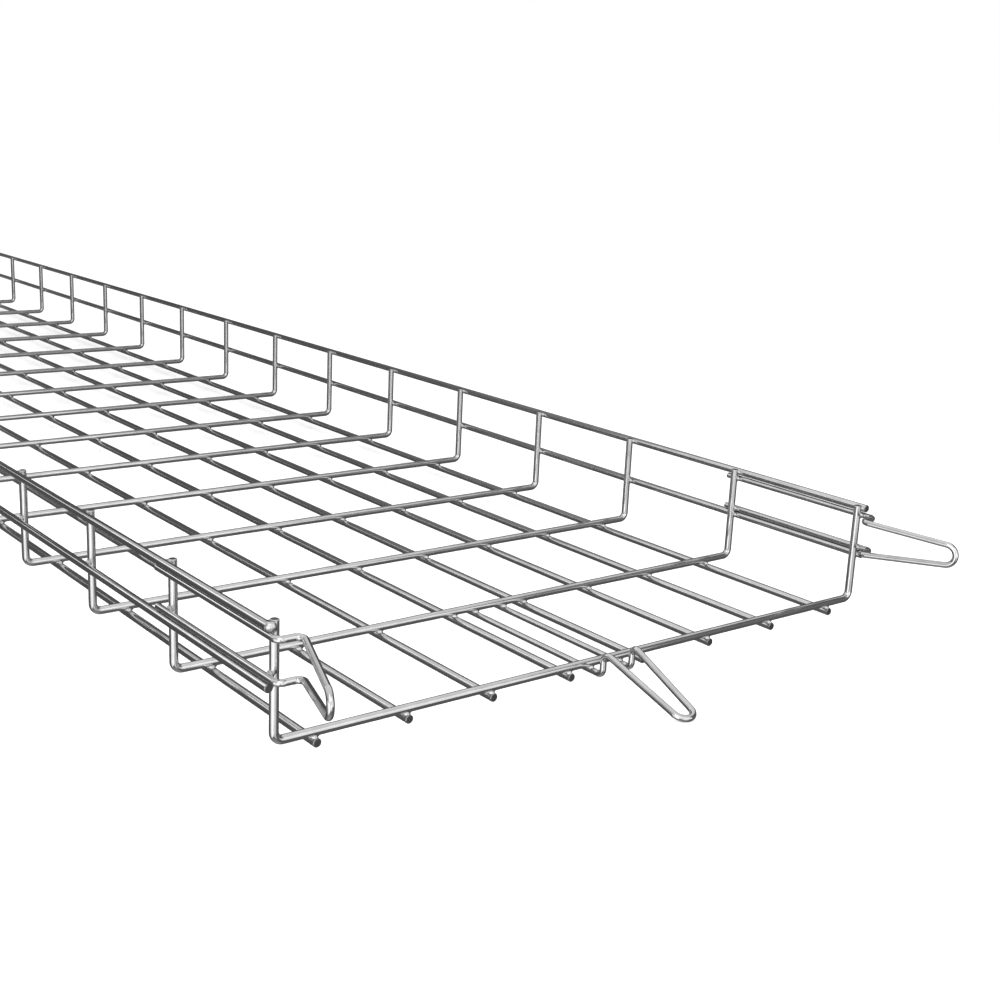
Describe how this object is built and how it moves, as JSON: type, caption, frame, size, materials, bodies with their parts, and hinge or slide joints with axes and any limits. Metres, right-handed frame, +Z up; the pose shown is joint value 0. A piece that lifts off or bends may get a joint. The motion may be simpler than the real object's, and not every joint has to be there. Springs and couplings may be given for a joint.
{
  "type": "wire mesh cable basket",
  "caption": "Straight trough of welded zinc-plated wire mesh that carries cables, with sprung hairpin couplers at one end for joining the next length.",
  "frame": {"origin": "on the floor under the middle of the whole part, tips of the couplers included", "axes": "+X along the tray towards the end with the couplers, +Y across it towards the wall that is on the right when seen from the coupler end, +Z up"},
  "size_m": [3.069, 0.417, 0.07],
  "materials": {
    "cross_wire": "bright zinc plated",
    "long_wire": "bright zinc plated",
    "coupler_wire": "bright zinc plated"
  },
  "bodies": {
    "root": {"cross_wire_01": "cross_wire", "cross_wire_02": "cross_wire", "cross_wire_03": "cross_wire", "cross_wire_04": "cross_wire", "cross_wire_05": "cross_wire", "cross_wire_06": "cross_wire", "cross_wire_07": "cross_wire", "cross_wire_08": "cross_wire", "cross_wire_09": "cross_wire", "cross_wire_10": "cross_wire", "cross_wire_11": "cross_wire", "cross_wire_12": "cross_wire", "cross_wire_13": "cross_wire", "cross_wire_14": "cross_wire", "cross_wire_15": "cross_wire", "cross_wire_16": "cross_wire", "cross_wire_17": "cross_wire", "cross_wire_18": "cross_wire", "cross_wire_19": "cross_wire", "cross_wire_20": "cross_wire", "cross_wire_21": "cross_wire", "cross_wire_22": "cross_wire", "cross_wire_23": "cross_wire", "cross_wire_24": "cross_wire", "cross_wire_25": "cross_wire", "cross_wire_26": "cross_wire", "cross_wire_27": "cross_wire", "cross_wire_28": "cross_wire", "cross_wire_29": "cross_wire", "cross_wire_30": "cross_wire", "cross_wire_31": "cross_wire", "base_wire_1": "long_wire", "base_wire_2": "long_wire", "base_wire_3": "long_wire", "base_wire_4": "long_wire", "base_wire_5": "long_wire", "base_wire_6": "long_wire", "base_wire_7": "long_wire", "base_wire_8": "long_wire", "side_wire_left_top": "long_wire", "side_wire_left_low": "long_wire", "side_wire_right_top": "long_wire", "side_wire_right_low": "long_wire", "coupler_left": "coupler_wire", "coupler_right": "coupler_wire", "coupler_floor": "coupler_wire"}
  },
  "joints": []
}
